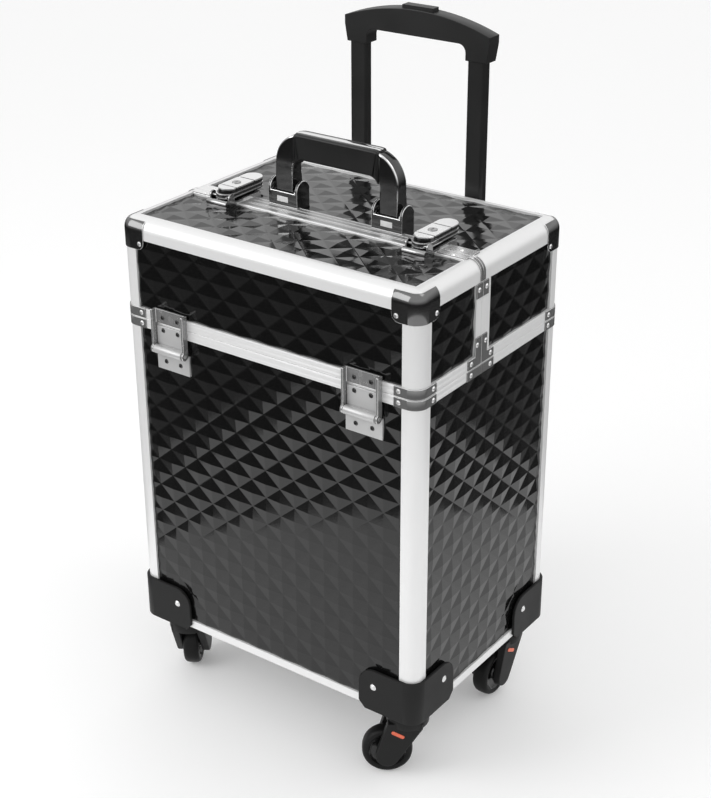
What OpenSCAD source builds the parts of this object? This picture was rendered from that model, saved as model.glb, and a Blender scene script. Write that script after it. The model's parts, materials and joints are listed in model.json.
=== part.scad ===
// Wheeled makeup train case: a panelled bin with a split two-lid top, a folding carry handle,
// a two-stage trolley handle and four swivel casters. Millimetres, +Z up, standing on Z = 0.
// The lengths below are worked out about the middle of the bin, then at_frame() moves the
// whole case so that the origin is under the middle of its overall footprint.

/* [Case] */
// Width of the case, left to right
case_w = 340; // [320:1:360]
// Depth of the case, front to back
case_d = 240; // [230:1:250]
// Height of the case's underside above the floor
ground = 84; // [82:1:88]
// Height of the bin, up to the joint with the lids
bin_h = 340; // [320:1:380]
// Height of the two lids
lid_h = 99.5; // [98:0.5:104]
// How far in front of the middle the two lids meet
seam_offset = 22; // [20:1:24]
// Rounding of the case's edges
edge_r = 12; // [11:0.5:13]
// Thickness of the panels
panel_t = 3; // [3:0.5:3.5]

/* [Aluminium rails] */
// Wall of the rounded edge rails and corner posts
rail_t = 2.5; // [2:0.25:2.75]
// Width of a corner post on each face
post_w = 18; // [16:1:20]
// Height of the rails on each side of the lid joint
rim_h = 10; // [9:0.5:11]
// Depth of those rails, from the outside in
rim_t = 7; // [6:0.5:7.5]
// Height of the rail round the bottom
foot_h = 9; // [8:0.5:10]
// Width of the edge rails on the top
edge_top = 14; // [13:0.5:15]
// Height of the edge rails down the sides
edge_side = 20; // [18:1:22]
// Width of the front lid's strip at the top joint
strip_front = 9; // [8:0.5:10]
// Width of the rear lid's strip at the top joint
strip_rear = 14; // [13:0.5:15]

/* [Hinges and locks] */
// Distance of each hinge and lock from the middle
hinge_x = 112; // [100:1:116]
// Width of a hinge
hinge_w = 40; // [38:1:42]
// Height of the hinge pin below the joint
hinge_drop = 25; // [24:0.5:26]
// Distance of each lock from the middle
lock_x = 113; // [108:1:116]
// Radius of the hinge pins
hinge_pin_r = 1.6; // [1.5:0.1:1.8]

/* [Carry handle] */
// Distance of each handle leg from the middle
leg_x = 60; // [56:1:62]
// Height of the handle above the case
handle_rise = 72.5; // [68:0.5:78]

/* [Trolley handle] */
// Distance of each tube from the middle
tube_x = 68; // [64:1:72]
// How far the tubes of each stage are drawn out at rest
stage_out = 145; // [120:5:170]
// Half width of the grip
grip_half = 83; // [80:1:86]

/* [Casters] */
// Radius of the wheels
wheel_r = 25; // [24:0.5:25.5]
// Width of the wheels
wheel_w = 17; // [16:1:20]
// How far a wheel trails its swivel
trail = 20; // [18:1:21]
// Distance of the swivels from the middle, left and right
swivel_x = 141; // [138:1:143]
// Distance of the swivels from the middle, front and back
swivel_y = 88; // [86:1:90]

/* [Hidden] */
$fn = 48;
hull_fn = 32;
fit = 0.05;
gap = 0.3;
w2 = case_w/2;
d2 = case_d/2;
seam_z = ground + bin_h;
top_z = seam_z + lid_h;
seam_y = -seam_offset;
body_top = seam_z - gap/2;
lid_low = seam_z + gap/2;
front_end = seam_y - gap/2;
rear_start = seam_y + gap/2;
rivet_r = 2.4;
// Lid corner caps: reach along the edges and down, and how far in their rivets are
cap_reach = 29;
cap_drop = 30;
cap_rivet = 24;
// Panels lie under the rails, and run in behind them
face_in = rail_t;
panel_in = face_in + panel_t;
tuck = edge_r;
// Hinge pins lie just outside the front and back faces
pin_y = d2 + 5;
pin_z = seam_z - hinge_drop;
eye_r = 4.5;
// Trolley tubes, outermost stage first: width, depth and corner radius
tube_y = d2 + 7;
tube_wall = 1.2;
outer_tube = [27, 16, 7];
middle_tube = [24, 13, 5.5];
inner_tube = [21, 10, 4];
outer_z = [ground + 10, ground + 274];
grip_z = top_z + 128.5;
grip_front = d2 + 0.5;
grip_back = grip_front + 17;
// The whole case is moved so that its overall footprint is centred on the origin
front_reach = pin_y + eye_r;
back_reach = d2 + 20;
frame_y = (front_reach - back_reach)/2;
// Trays: pivots on the lid, and the offset from them to the arms' pivots
tray_half = 152;
tray_wall = 1.6;
arm_x = [156.5, 158.5];
pivot_r = 2.5;
upper_pivot = [62, 75];
lower_pivot = upper_pivot/2;
arm_shift = [29, 10];
arm_crank = [26, 5];
// Carry handle
handle_y = -1.5;
handle_pin_z = top_z + 9.5;
handle_top = top_z + handle_rise;
leg_w = 20;
leg_t = 14;
grip_under = handle_top - 25;
// Locks: the lever's pin on the front lid, its top, its rear end and the key in it
lever_pin = [seam_y - 16, top_z + 6.5];
lever_low = top_z + 2.6;
lever_top = top_z + 14.3;
lever_end = 18;
lever_half = 10;
key_y = -16;
key_r = 4.5;
// Casters: name, side, front or back, and the way the wheel trails at rest
FL = [-1, -1, 121];
FR = [1, -1, 216];
RL = [-1, 1, 250];
RR = [1, 1, 270];
boss_z = ground - 12;
fork_top = boss_z - 0.5;

aluminium = "silver";
chrome = "gainsboro";
gloss_black = "dimgray";
matte_black = "darkslategray";

// ---- Shared shapes ----

module at_frame() {
  translate([0, frame_y, 0]) children();
}

module box(low, high) {
  translate(low) cube(high - low);
}

// Both sides of the case, left and right
module both_sides() {
  children();
  mirror([1, 0, 0]) children();
}

module front_and_back() {
  children();
  mirror([0, 1, 0]) children();
}

// The case's outline in plan, drawn in by `inset` from its outside
module outline(inset) {
  rounded_square(case_w - 2*inset, case_d - 2*inset, max(edge_r - inset, 0.5));
}

module outline_ring(thick) {
  difference() {
    outline(0);
    outline(thick);
  }
}

// A ring of the case's outline between two heights, kept between two depths
module ring_part(thick, z0, z1, y0, y1) {
  translate([0, 0, z0]) linear_extrude(z1 - z0) intersection() {
    outline_ring(thick);
    translate([-case_w, y0]) square([2*case_w, y1 - y0]);
  }
}

// Section of a rounded edge rail, its outer corner at the origin
module edge_section() {
  difference() {
    corner_section(edge_top, edge_side, edge_r);
    translate([rail_t, -rail_t]) corner_section(edge_top, edge_side, edge_r - rail_t);
  }
}

module corner_section(a, b, r) {
  intersection() {
    union() {
      translate([r, -r]) circle(r);
      translate([r, -b]) square([a, b]);
      translate([0, -b]) square([a, b - r]);
    }
    translate([0, -b]) square([a, b]);
  }
}

// One octant of a box with rounded edges, its outer corner at the origin
module rounded_octant(r, size) {
  translate([r, r, r]) {
    sphere(r);
    cylinder(r = r, h = size - r);
    rotate([0, 90, 0]) cylinder(r = r, h = size - r);
    rotate([-90, 0, 0]) cylinder(r = r, h = size - r);
    translate([-r, 0, 0]) cube([size, size - r, size - r]);
    translate([0, -r, 0]) cube([size - r, size, size - r]);
    translate([0, 0, -r]) cube([size - r, size - r, size]);
  }
}

// Front of a cap's lobe, seen square on: across and down from the corner
module cap_lobe(skin) {
  lobe_r = 8;
  translate([-skin, -skin]) square([cap_reach + skin - lobe_r, cap_drop + skin]);
  translate([-skin, -skin]) square([cap_reach + skin, cap_drop + skin - lobe_r]);
  translate([cap_reach - lobe_r, cap_drop - lobe_r]) circle(lobe_r);
}

// Thin cap over a top corner, drawn for the front left corner; it leaves the flat top clear
module corner_cap() {
  skin = 1;
  lip = 4;
  far = cap_reach + 2*skin;
  translate([-w2, -d2, top_z]) mirror([0, 0, 1]) difference() {
    intersection() {
      translate([-skin, -skin, -skin]) rounded_octant(edge_r + skin, 50);
      translate([0, far, 0]) rotate([90, 0, 0]) linear_extrude(2*far) cap_lobe(skin);
      translate([-far, 0, 0]) rotate([90, 0, 90]) linear_extrude(2*far) cap_lobe(skin);
    }
    rounded_octant(edge_r, 54);
    translate([edge_r, edge_r, -2*skin]) cylinder(r = edge_r - lip, h = lip + 2*skin);
    translate([lip, edge_r, -2*skin]) cube([far, far, lip + 2*skin]);
    translate([edge_r, lip, -2*skin]) cube([far, far, lip + 2*skin]);
  }
}

// Corner that joins a lid's edge rails and post, drawn for the front left corner
module rail_corner(size) {
  translate([-w2, -d2, top_z]) mirror([0, 0, 1]) difference() {
    intersection() {
      rounded_octant(edge_r, 50);
      cube([size, size, size]);
    }
    translate([rail_t, rail_t, rail_t]) rounded_octant(edge_r - rail_t, 54);
    translate([edge_top, edge_top, -rail_t]) cube([size, size, 3*rail_t]);
  }
}

// Rivet heads: a low button standing on a face
module rivet(r, h) {
  cylinder(r1 = r, r2 = 0.6*r, h = h);
}

module rivet_front(x, z, proud, r = rivet_r) {
  translate([x, -d2 - proud, z]) rotate([90, 0, 0]) rivet(r, 1);
}

module rivet_side(y, z, proud, r = rivet_r) {
  translate([w2 + proud, y, z]) rotate([0, 90, 0]) rivet(r, 1);
}

module rivet_top(x, y, z) {
  translate([x, y, z]) rivet(rivet_r, 1);
}

module rounded_square(w, d, r) {
  square([w - 2*r, d], center = true);
  square([w, d - 2*r], center = true);
  for (sx = [-1, 1], sy = [-1, 1])
    translate([sx*(w/2 - r), sy*(d/2 - r)]) circle(r);
}

module tube(size, z0, z1) {
  translate([0, 0, z0]) linear_extrude(z1 - z0) difference() {
    rounded_square(size[0], size[1], size[2]);
    rounded_square(size[0] - 2*tube_wall, size[1] - 2*tube_wall, size[2] - tube_wall);
  }
}

module tube_pair(size, z0, z1) {
  for (sx = [-1, 1]) translate([sx*tube_x, tube_y, 0]) tube(size, z0, z1);
}

// ---- Bin ----

module wall_panel(z0, z1) {
  box([-w2 + tuck, -d2 + face_in, z0], [w2 - tuck, -d2 + panel_in, z1]);
}

module side_wall(y0, y1, z0, z1) {
  both_sides() box([w2 - panel_in, y0, z0], [w2 - face_in, y1, z1]);
}

module front_panel() color(gloss_black) at_frame() wall_panel(ground + foot_h, seam_z - rim_h);

module back_panel() color(gloss_black) at_frame()
  mirror([0, 1, 0]) wall_panel(ground + foot_h, seam_z - rim_h);

module side_panels() color(gloss_black) at_frame()
  side_wall(-d2 + tuck, d2 - tuck, ground + foot_h, seam_z - rim_h);

module bottom_panel() color(matte_black) at_frame()
  translate([0, 0, ground]) linear_extrude(5) outline(rim_t);

module bin_lining() color("black") at_frame() {
  skin = 1;
  low = ground + foot_h;
  high = seam_z - rim_h;
  in_x = w2 - panel_in;
  in_y = d2 - panel_in;
  corner = 8;
  difference() {
    box([-in_x, -in_y + corner, low], [in_x, in_y - corner, high]);
    box([-in_x + skin, -in_y, low - 1], [in_x - skin, in_y, high + 1]);
  }
  difference() {
    box([-in_x + corner, -in_y, low], [in_x - corner, in_y, high]);
    box([-in_x, -in_y + skin, low - 1], [in_x, in_y - skin, high + 1]);
  }
  translate([0, 0, ground + 5]) linear_extrude(skin) outline(rim_t);
}

module corner_posts() color(aluminium) at_frame()
  translate([0, 0, ground + foot_h]) linear_extrude(bin_h - foot_h - rim_h) post_outlines();

module post_outlines() {
  intersection() {
    outline_ring(rail_t);
    for (sx = [-1, 1], sy = [-1, 1])
      translate([sx*w2, sy*d2]) square(2*post_w, center = true);
  }
}

module bottom_rails() color(aluminium) at_frame() ring_part(rim_t, ground, ground + foot_h, -d2, d2);

module rim_rail() color(aluminium) at_frame() ring_part(rim_t, seam_z - rim_h, body_top, -d2, d2);

// A collar round each corner at the lid joint, with a tab on each face
module joint_collars(z0, z1, y_sign) {
  skin = 1;
  tab = 26;
  translate([0, 0, z0]) linear_extrude(z1 - z0) difference() {
    intersection() {
      outline(-skin);
      for (sx = [-1, 1], sy = y_sign)
        translate([sx*w2, sy*d2]) square([2*tab, 2*tab], center = true);
    }
    outline(0);
  }
}

module body_brackets() color(chrome) at_frame() {
  joint_collars(seam_z - rim_h, body_top - 0.5, [-1, 1]);
  // Plates on the sides below the end of the joint between the two lids
  both_sides() {
    box([w2, seam_y - 22, seam_z - rim_h], [w2 + 1, seam_y - 0.4, body_top - 0.5]);
    box([w2, seam_y + 0.4, seam_z - rim_h], [w2 + 1, seam_y + 22, body_top - 0.5]);
  }
}

module body_rivets() color(chrome) at_frame() {
  z = seam_z - rim_h/2 - 0.5;
  zt = seam_z + rim_h/2 + 0.5;
  both_sides() {
    front_and_back() {
      rivet_front(w2 - 21, z, 1);
      rivet_side(-d2 + 21, z, 1);
      // Corner guards
      rivet_front(w2 - 46, ground + 25, 3, 3.4);
      rivet_side(-d2 + 46, ground + 27, 3, 3.4);
      // Hinges
      for (dx = [-9, 9]) {
        rivet_front(hinge_x + dx, seam_z - 6, 2);
        rivet_front(hinge_x + dx, pin_z - 14, 0);
      }
    }
    rivet_side(seam_y - 16, z, 1);
    rivet_side(seam_y + 16, z, 1);
    // Rear lid
    rivet_side(seam_y + 16, zt, 1);
    rivet_side(seam_y + 7, seam_z + 21, 1);
    rivet_side(seam_y + 6, top_z - 26, 1);
    rivet_side(d2 - 21, zt, 1);
    rivet_top(lock_x + 30, seam_y + 7, top_z + 1);
    mirror([0, 1, 0]) {
      rivet_front(w2 - 21, zt, 1);
      rivet_front(w2 - cap_rivet, top_z - cap_rivet, 1);
      rivet_side(-d2 + cap_rivet, top_z - cap_rivet, 1);
      for (dx = [-9, 9]) rivet_front(hinge_x + dx, seam_z + 7, 2);
    }
  }
}

// ---- Corner guards and casters ----

module guard_lobe(length, height) {
  r = 18;
  difference() {
    union() {
      square([length - r, height]);
      square([length, height - r]);
      translate([length - r, height - r]) circle(r);
    }
    translate([length, 0]) rotate(45) square(10, center = true);
  }
}

// Drawn for the front right corner
module corner_guard() {
  wall = 3;
  length = 63;
  high = 44;
  intersection() {
    translate([0, 0, ground - wall]) linear_extrude(high + wall) difference() {
      outline(-wall);
      outline(0);
    }
    union() {
      translate([w2 + wall, 0, ground - wall]) rotate([90, 0, 0])
        linear_extrude(2*d2) mirror([1, 0]) guard_lobe(length + wall, high + wall);
      translate([w2 - edge_r, -d2 - wall, ground - wall]) cube([edge_r + wall, edge_r + wall, high + wall]);
    }
    union() {
      translate([0, -d2 - wall, ground - wall]) rotate([90, 0, 90])
        linear_extrude(2*w2) guard_lobe(length + wall, high + wall);
      translate([0, -d2 - wall, ground - wall]) cube([w2, wall + edge_r, high + wall]);
    }
  }
  difference() {
    union() {
      intersection() {
        translate([0, 0, ground - wall]) linear_extrude(wall) outline(-wall);
        box([w2 - length + 7, -d2 - wall, ground - wall], [w2 + wall, -d2 + length - 7, ground]);
      }
      translate([swivel_x, -swivel_y, boss_z]) cylinder(r = 25, h = ground - boss_z);
    }
    translate([swivel_x, -swivel_y, boss_z - 1]) cylinder(r = 5 + fit, h = 11);
  }
}

module corner_guards() color(matte_black) at_frame()
  both_sides() front_and_back() corner_guard();

module place_swivel(corner) {
  translate([corner[0]*swivel_x, corner[1]*swivel_y, 0]) rotate(corner[2]) children();
}

module caster_fork(corner) color(matte_black) at_frame() place_swivel(corner) {
  cheek_in = wheel_w/2 + 1;
  cheek_t = 8;
  crown = fork_top - 13;
  translate([0, 0, crown]) cylinder(r = 21, h = fork_top - crown);
  translate([0, 0, fork_top - 1]) cylinder(r = 5, h = 10);
  for (side = [-1, 1])
    translate([0, side*(cheek_in + cheek_t/2) + cheek_t/2, 0]) rotate([90, 0, 0])
      linear_extrude(cheek_t) hull() {
        translate([trail, wheel_r]) circle(11.5, $fn = hull_fn);
        translate([-14, crown]) square([34, 6]);
      }
  translate([trail, 0, wheel_r]) rotate([90, 0, 0]) cylinder(r = 3, h = 2*cheek_in + 1, center = true);
}

module caster_wheel(corner) color("black") at_frame() place_swivel(corner)
  translate([trail, 0, wheel_r]) rotate([90, 0, 0]) difference() {
    cylinder(r = wheel_r, h = wheel_w, center = true);
    cylinder(r = 3 + fit, h = wheel_w + 2, center = true);
    for (side = [-1, 1]) translate([0, 0, side*wheel_w/2]) difference() {
      cylinder(r = wheel_r - 6, h = 4, center = true);
      cylinder(r = 8, h = 6, center = true);
    }
  }

// ---- Hinges, drawn for the front right one ----

module hinge_base() {
  half = hinge_w/2;
  knuckle = half - 3;
  translate([hinge_x, 0, 0]) {
    box([-knuckle, -d2 - 2, pin_z - 4], [knuckle, -d2, seam_z - 2]);
    box([-half, -d2, pin_z - 23], [half, -d2 + rail_t, pin_z - 2]);
    box([-knuckle, -pin_y, pin_z - 3], [knuckle, -d2 - 1, pin_z + 3]);
    translate([0, -pin_y, pin_z]) rotate([0, 90, 0]) {
      cylinder(r = eye_r, h = 2*knuckle, center = true);
      cylinder(r = hinge_pin_r, h = hinge_w + 1, center = true);
    }
  }
}

module hinge_leaf() {
  half = hinge_w/2;
  flange = 2.5;
  translate([hinge_x, 0, 0]) difference() {
    union() {
      box([-half, -d2 - 2, seam_z + 1], [half, -d2, seam_z + 15]);
      for (side = [-1, 1]) translate([side*(half - flange/2) - flange/2, 0, 0]) {
        box([0, -d2 - 7, pin_z], [flange, -d2 - gap, seam_z + 15]);
        translate([0, -pin_y, pin_z]) rotate([0, 90, 0]) cylinder(r = eye_r, h = flange);
      }
    }
    translate([0, -pin_y, pin_z]) rotate([0, 90, 0])
      cylinder(r = hinge_pin_r + fit, h = 2*hinge_w, center = true);
  }
}

module front_hinge_bases() color(chrome) at_frame() both_sides() hinge_base();

module front_hinge_leaves() color(chrome) at_frame() both_sides() hinge_leaf();

module rear_hinges() color(chrome) at_frame() mirror([0, 1, 0]) both_sides() {
  hinge_base();
  hinge_leaf();
}

// ---- Lids: panels and rails, between two depths ----

module lid_face(z_low) {
  wall_panel(z_low, top_z - edge_top);
}

module lid_top(y0, y1) {
  box([-w2 + tuck, y0, top_z - panel_in], [w2 - tuck, y1, top_z - face_in]);
}

// Edge rails and posts of one lid, drawn for the front; `end` is where they stop
module lid_edges(end) {
  from = 19.5;
  both_sides() translate([w2, 0, top_z]) rotate([90, 0, 0])
    translate([0, 0, -end]) linear_extrude(end + d2 - from) mirror([1, 0]) edge_section();
  translate([w2 - from, -d2, top_z]) rotate([0, -90, 0])
    linear_extrude(case_w - 2*from) rotate(-90) mirror([1, 0]) edge_section();
  translate([0, 0, seam_z + rim_h]) linear_extrude(lid_h - rim_h - from) intersection() {
    post_outlines();
    translate([-case_w, -case_d]) square([2*case_w, case_d]);
  }
  both_sides() rail_corner(from);
}

// Frame of one lid at the joints: a rim round the bottom, and an arch where the lids meet
module lid_frame(y0, y1, arch0, arch1) {
  ring_part(rim_t, lid_low, seam_z + rim_h, y0, y1);
  both_sides() box([w2 - rim_t, arch0, seam_z + rim_h], [w2, arch1, top_z - edge_side]);
  box([-w2 + edge_top, arch0, top_z - 7], [w2 - edge_top, arch1, top_z]);
}

// A plate `deep` wide on one side of the joint between the lids, drawn from a corner
module beside_joint(side, deep, x, z, size_x, size_z) {
  translate([x, side > 0 ? rear_start + 0.15 : front_end - 0.15 - deep, z])
    cube([size_x, deep, size_z]);
}

// Plates that join a lid's rails where the two lids meet; `side` is -1 for the front lid
module joint_plates(side, strip) {
  both_sides() {
    beside_joint(side, 9.5, w2, top_z - 34, 1, 14);
    beside_joint(side, 9.5, w2, seam_z + rim_h, 1, 18);
    beside_joint(side, 21, w2, lid_low + 0.5, 1, rim_h - 0.65);
    // On the top strip, from the lock to the side rail
    beside_joint(side, strip - 0.5, lock_x + 14, top_z, 31, 1);
    // Collar round the end of the edge rail
    translate([w2, side > 0 ? rear_start + 3.7 : front_end - 0.2, top_z]) rotate([90, 0, 0])
      linear_extrude(3.5) mirror([1, 0]) collar_section();
  }
}

module collar_section() {
  skin = 1;
  difference() {
    translate([-skin, skin]) corner_section(edge_top, edge_side, edge_r + skin);
    corner_section(case_w, case_w, edge_r);
  }
}

module front_lid_front_panel() color(gloss_black) at_frame() lid_face(seam_z + rim_h);

module front_lid_top_panel() color(gloss_black) at_frame()
  lid_top(-d2 + tuck, front_end - strip_front);

module front_lid_side_panels() color(gloss_black) at_frame()
  side_wall(-d2 + tuck, front_end - strip_front, seam_z + rim_h, top_z - edge_top);

module front_lid_edge_rails() color(aluminium) at_frame() lid_edges(front_end);

module front_lid_frame_rails() color(aluminium) at_frame()
  lid_frame(-d2, front_end, front_end - strip_front, front_end);

module front_lid_corner_caps() color(chrome) at_frame() both_sides() corner_cap();

module front_lid_brackets() color(chrome) at_frame() {
  joint_collars(lid_low + 0.5, seam_z + rim_h, [-1]);
  joint_plates(-1, strip_front);
}

module front_lid_rivets() color(chrome) at_frame() {
  z = seam_z + rim_h/2 + 0.5;
  both_sides() {
    rivet_front(w2 - 21, z, 1);
    rivet_side(-d2 + 21, z, 1);
    rivet_front(w2 - cap_rivet, top_z - cap_rivet, 1);
    rivet_side(-d2 + cap_rivet, top_z - cap_rivet, 1);
    rivet_side(seam_y - 16, z, 1);
    rivet_side(seam_y - 7, seam_z + 21, 1);
    rivet_side(seam_y - 6, top_z - 26, 1);
    rivet_top(lock_x + 30, seam_y - 7, top_z + 1);
    for (dx = [-9, 9]) rivet_front(hinge_x + dx, seam_z + 7, 2);
  }
}

module rear_lid_back_panel() color(gloss_black) at_frame()
  mirror([0, 1, 0]) lid_face(seam_z + rim_h);

module rear_lid_top_panel() color(gloss_black) at_frame()
  lid_top(rear_start + strip_rear, d2 - tuck);

module rear_lid_side_panels() color(gloss_black) at_frame()
  side_wall(rear_start + strip_rear, d2 - tuck, seam_z + rim_h, top_z - edge_top);

module rear_lid_edge_rails() color(aluminium) at_frame()
  mirror([0, 1, 0]) lid_edges(-rear_start);

module rear_lid_frame_rails() color(aluminium) at_frame()
  lid_frame(rear_start, d2, rear_start, rear_start + strip_rear);

module rear_lid_corner_caps() color(chrome) at_frame() mirror([0, 1, 0]) both_sides() corner_cap();

module rear_lid_brackets() color(chrome) at_frame() {
  joint_collars(lid_low + 0.5, seam_z + rim_h, [1]);
  joint_plates(1, strip_rear);
}

// ---- Trays ----

function pivot_at(offset, side) = [side*(-pin_y + offset[0]), pin_z + offset[1]];

// A tray between two depths and heights, with dividers and a stud at each pivot on both ends
module tray(y0, y1, z0, z1, half, cells, pivots) {
  cell = (2*half - tray_wall)/cells;
  difference() {
    box([-half, y0, z0], [half, y1, z1]);
    for (i = [0:cells - 1])
      translate([-half + tray_wall + i*cell, y0 + tray_wall, z0 + tray_wall])
        cube([cell - tray_wall, y1 - y0 - 2*tray_wall, z1 - z0]);
  }
  for (p = pivots) both_sides()
    translate([half - 1, p[0], p[1]]) rotate([0, 90, 0]) cylinder(r = pivot_r, h = p[2] - half + 1);
}

module upper_tray(y0, y1, side, cells) {
  lid_pin = pivot_at(upper_pivot, side);
  arm_pin = pivot_at(upper_pivot + arm_shift, side);
  tray(y0, y1, pin_z + 63, pin_z + 95, tray_half, cells,
       [[lid_pin[0], lid_pin[1], 163], [arm_pin[0], arm_pin[1], arm_x[1] + 0.5]]);
}

module lower_tray(y0, y1, side, cells) {
  lid_pin = pivot_at(lower_pivot, side);
  arm_pin = pivot_at(lower_pivot + arm_shift, side);
  tray(y0, y1, pin_z + 34, pin_z + 55, tray_half + 2, cells,
       [[lid_pin[0], lid_pin[1], 163], [arm_pin[0], arm_pin[1], arm_x[1] + 0.5]]);
}

// Cranked arms, one on each side, from the bin's bracket to the two trays
module tray_arms(side) {
  foot = pivot_at(arm_shift, side);
  knee = pivot_at(arm_shift + arm_crank, side);
  middle = pivot_at(lower_pivot + arm_shift, side);
  tip = pivot_at(upper_pivot + arm_shift, side);
  both_sides() translate([arm_x[0], 0, 0]) rotate([90, 0, 90])
    linear_extrude(arm_x[1] - arm_x[0]) difference() {
      union() {
        link(foot, knee);
        link(knee, middle);
        link(middle, tip);
      }
      for (p = [foot, middle, tip]) translate(p) circle(pivot_r + fit);
    }
}

module link(a, b) {
  half = 4.5;
  d = b - a;
  translate(a) rotate(atan2(d[1], d[0])) {
    translate([0, -half]) square([norm(d), 2*half]);
    circle(half);
    translate([norm(d), 0]) circle(half);
  }
}

// Blocks on a lid's side panels that hold the trays' studs
module lid_pivots(side) {
  for (offset = [upper_pivot, lower_pivot]) {
    p = pivot_at(offset, side);
    both_sides() difference() {
      union() {
        translate([159.2, p[0], p[1]]) rotate([0, 90, 0]) cylinder(r = 6, h = w2 - rim_t - 159.2);
        box([w2 - rim_t - 1, p[0] - 5, p[1] - 2], [w2 - panel_in, p[0] + 5, p[1] + 4]);
      }
      translate([150, p[0], p[1]]) rotate([0, 90, 0]) cylinder(r = pivot_r + fit, h = 30);
    }
  }
}

module arm_bracket(side) {
  p = pivot_at(arm_shift, side);
  both_sides() {
    box([158.8, p[0] - 8, p[1] - 34], [w2 - rim_t, p[0] + 8, p[1] + 13]);
    translate([arm_x[0] - 0.3, p[0], p[1]]) rotate([0, 90, 0]) cylinder(r = pivot_r, h = 3);
  }
}

module tray_arm_brackets() color(chrome) at_frame() {
  arm_bracket(1);
  arm_bracket(-1);
}

module front_tray_pivots() color(chrome) at_frame() lid_pivots(1);

module front_upper_tray() color("black") at_frame() upper_tray(-102, -28, 1, 4);

module front_lower_tray() color("black") at_frame() lower_tray(-111, -27, 1, 5);

module front_tray_arms() color(chrome) at_frame() tray_arms(1);

module rear_upper_tray() color("black") at_frame() upper_tray(-16, 96, -1, 4);

module rear_lower_tray() color("black") at_frame() lower_tray(-16, 108, -1, 5);

module rear_tray_arms() color(chrome) at_frame() {
  tray_arms(-1);
  lid_pivots(-1);
}

// ---- Locks, drawn for the right one ----

// A low plate on the top, stepped down off the raised strip at one depth
module stepped_plate(half, y0, y1, z, step_y, back) {
  box([-half, y0, top_z], [half, y1, z]);
  box([-half, back ? step_y : y0, top_z - face_in], [half, back ? y1 : step_y, z]);
}

module cross_pin(y, z, r, half) {
  translate([-half, y, z]) rotate([0, 90, 0]) cylinder(r = r, h = 2*half);
}

// Base on the front lid: lugs and a pin for the lever, and a fixed barrel in front of it
module lock_base() translate([lock_x, 0, 0]) {
  lug = 2;
  lug_in = lever_half + gap;
  base_z = top_z + 2;
  step_y = front_end - strip_front - 0.05;
  stepped_plate(lug_in + lug, lever_pin[0] - 9, front_end - 0.3, base_z, step_y, false);
  for (x = [-lug_in - lug, lug_in]) translate([x, lever_pin[0], 0]) {
    translate([0, 0, lever_pin[1]]) rotate([0, 90, 0]) cylinder(r = 4.2, h = lug);
    translate([0, -4.2, top_z]) cube([lug, 8.4, lever_pin[1] - top_z]);
  }
  cross_pin(lever_pin[0], lever_pin[1], 1.2, lug_in + lug);
  cross_pin(lever_pin[0] - 6.8, top_z + 2, 3, lug_in + lug);
}

module lock_bases() color(chrome) at_frame() both_sides() lock_base();

module lock_lever() translate([lock_x, 0, 0]) difference() {
  union() {
    box([-lever_half, lever_pin[0], lever_low], [lever_half, lever_end - lever_half, lever_top]);
    translate([0, lever_end - lever_half, lever_low])
      cylinder(r = lever_half, h = lever_top - lever_low);
    cross_pin(lever_pin[0], lever_pin[1], lever_pin[1] - lever_low, lever_half);
  }
  cross_pin(lever_pin[0], lever_pin[1], 1.2 + fit, lever_half + 1);
  translate([0, key_y, lever_low + 4]) cylinder(r = key_r + fit, h = 20);
  // Grooves across the top, on both sides of the key
  for (y = [key_y - 12, key_y + 15])
    translate([-lever_half - 1, y, lever_top - 1]) cube([2*lever_half + 2, 1.2, 2]);
}

module lock_lever_left() color(chrome) at_frame() mirror([1, 0, 0]) lock_lever();

module lock_lever_right() color(chrome) at_frame() lock_lever();

module key_cylinder() translate([lock_x, key_y, 0]) difference() {
  translate([0, 0, lever_low + 4.1]) cylinder(r = key_r, h = lever_top + 0.6 - lever_low - 4.1);
  translate([-0.5, -2.5, lever_top - 2]) cube([1, 5, 4]);
}

module key_cylinder_left() color(aluminium) at_frame() mirror([1, 0, 0]) key_cylinder();

module key_cylinder_right() color(aluminium) at_frame() key_cylinder();

// Plate on the rear lid that the closed lever lies over
module lock_keepers() color(chrome) at_frame() both_sides() translate([lock_x, 0, 0])
  stepped_plate(lever_half + 2, rear_start + 0.3, 6, top_z + 2, rear_start + strip_rear + 0.05, true);

// ---- Carry handle ----

module handle_brackets() color(chrome) at_frame() for (sx = [-1, 1]) translate([sx*leg_x, 0, 0]) {
  y0 = handle_y - 10.5;
  y1 = handle_y + 9.5;
  ear = 2.5;
  ear_in = 14.5;
  ear_z = top_z + 15;
  ear_r = (y1 - y0)/2;
  stepped_plate(ear_in + ear, y0, y1, top_z + 1, rear_start + strip_rear + 0.05, true);
  for (x = [-ear_in - ear, ear_in]) translate([x, 0, 0]) {
    box([0, y0, top_z], [ear, y1, ear_z]);
    translate([0, (y0 + y1)/2, ear_z]) rotate([0, 90, 0]) cylinder(r = ear_r, h = ear);
  }
  // Cross plate in front of the leg
  box([-ear_in, y0, top_z + 1], [ear_in, y0 + 2, top_z + 14]);
  cross_pin(handle_y, handle_pin_z, 3, ear_in + 1);
}

// Outline of the handle from the front; `inner` draws the opening
module handle_outline(half, top, r, low) {
  translate([-half, low]) square([2*half, top - r - low]);
  translate([-half + r, low]) square([2*(half - r), top - low]);
  for (side = [-1, 1]) translate([side*(half - r), top - r]) circle(r);
}

module handle_arch(proud) {
  difference() {
    handle_outline(leg_x + leg_w/2 + proud, handle_top - 1 + proud, 30, handle_pin_z);
    handle_outline(leg_x - leg_w/2 - proud, grip_under + 1 - proud, 12, 0);
  }
}

// The part of the arch that the grip covers
module grip_part() {
  half = 48;
  translate([-half, grip_under - 14]) square([2*half, 60]);
}

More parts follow.
